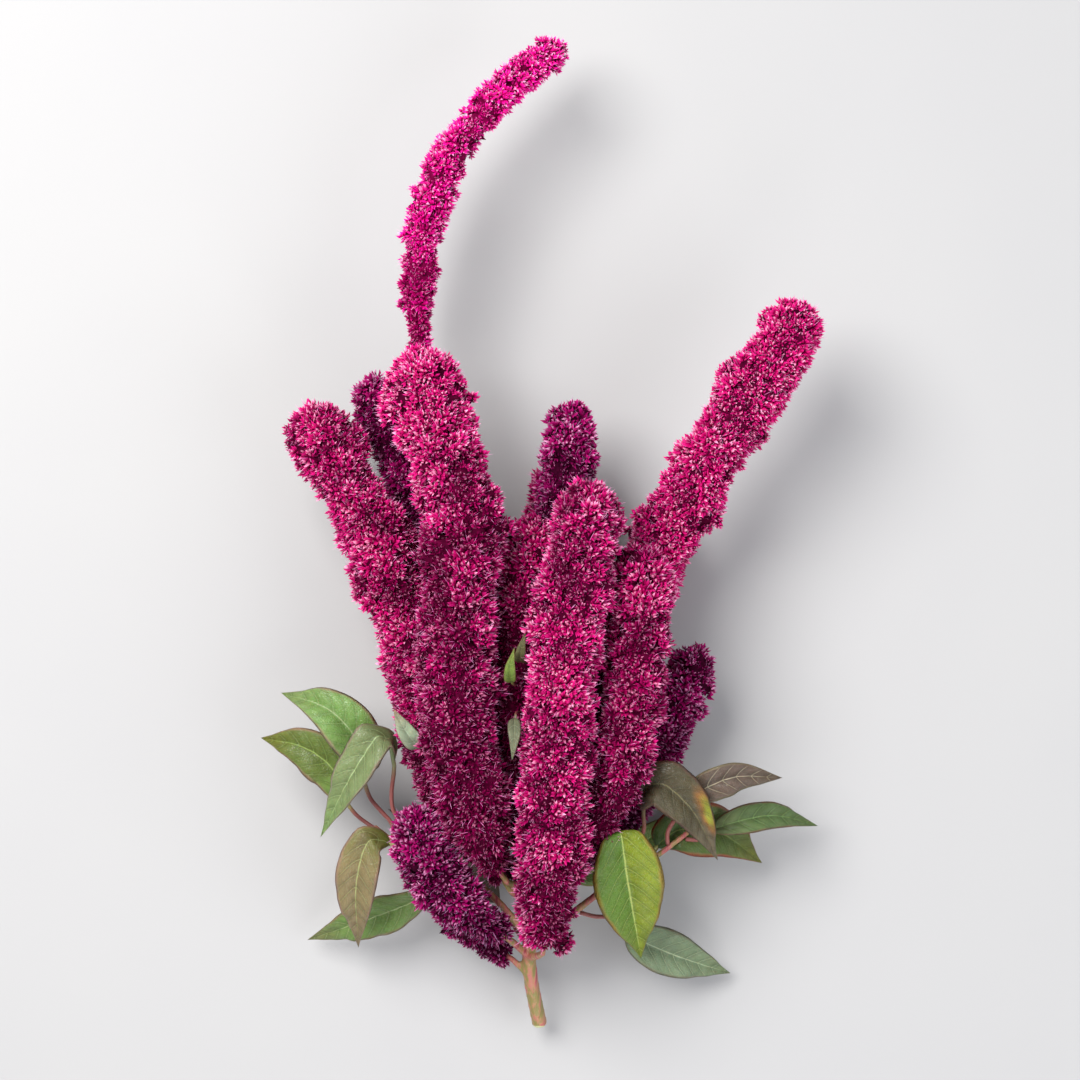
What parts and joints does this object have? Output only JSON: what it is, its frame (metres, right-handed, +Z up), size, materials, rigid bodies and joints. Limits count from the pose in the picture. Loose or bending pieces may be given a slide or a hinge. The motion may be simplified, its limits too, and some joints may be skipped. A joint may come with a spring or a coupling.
{
  "type": "amaranth seed head",
  "caption": "Cut seed head of red amaranth lying on its side: a forked bundle of thick floret fingers round a tall thin one, with leaves at the foot.",
  "frame": {"origin": "middle of the flat spot under the middle lower finger, on the table", "axes": "+Y along the head from the cut stem to the tips, +Z up from the table, +X to the right as the camera looks down with the tips at the top"},
  "size_m": [0.2626, 0.4653, 0.1128],
  "materials": {
    "floret_crimson": "dry, finely bristled florets, no gloss",
    "floret_pink": "dry, finely bristled florets, no gloss",
    "floret_purple": "dry, finely bristled florets, no gloss",
    "stem_rose": "ridged, slightly waxy green wood",
    "leaf_green": "thin veined leaf, soft satin",
    "leaf_sage": "thin veined leaf, soft satin",
    "leaf_bronze": "thin veined leaf, soft satin",
    "leaf_grey": "thin veined leaf, soft satin"
  },
  "bodies": {
    "root": {"stem": "stem_rose", "terminal_spike": "floret_pink", "left_finger": "floret_crimson", "centre_left_finger": "floret_crimson", "centre_shoulder": "floret_crimson", "centre_right_finger": "floret_crimson", "right_finger": "floret_crimson", "right_shoulder": "floret_crimson", "left_low_spray": "floret_purple", "foot_spray": "floret_purple", "right_low_spray": "floret_purple", "under_left_finger": "floret_crimson", "under_centre_finger": "floret_crimson", "under_right_finger": "floret_crimson", "back_finger": "floret_purple", "left_back_finger": "floret_purple", "leaf_left_upper": "leaf_sage", "leaf_left_lower": "leaf_green", "leaf_left_slanting": "leaf_sage", "leaf_left_hanging": "leaf_bronze", "leaf_low_left": "leaf_green", "leaf_right_large": "leaf_green", "leaf_right_bronze": "leaf_bronze", "leaf_right_red_edged": "leaf_green", "leaf_right_grey": "leaf_grey", "leaf_right_long": "leaf_green", "leaf_low_right": "leaf_sage", "leaf_under_left": "leaf_grey", "leaf_under_right": "leaf_green", "bract_green": "leaf_green", "bract_grey": "leaf_grey", "bract_olive": "leaf_bronze", "bract_pale": "leaf_sage"}
  },
  "joints": []
}
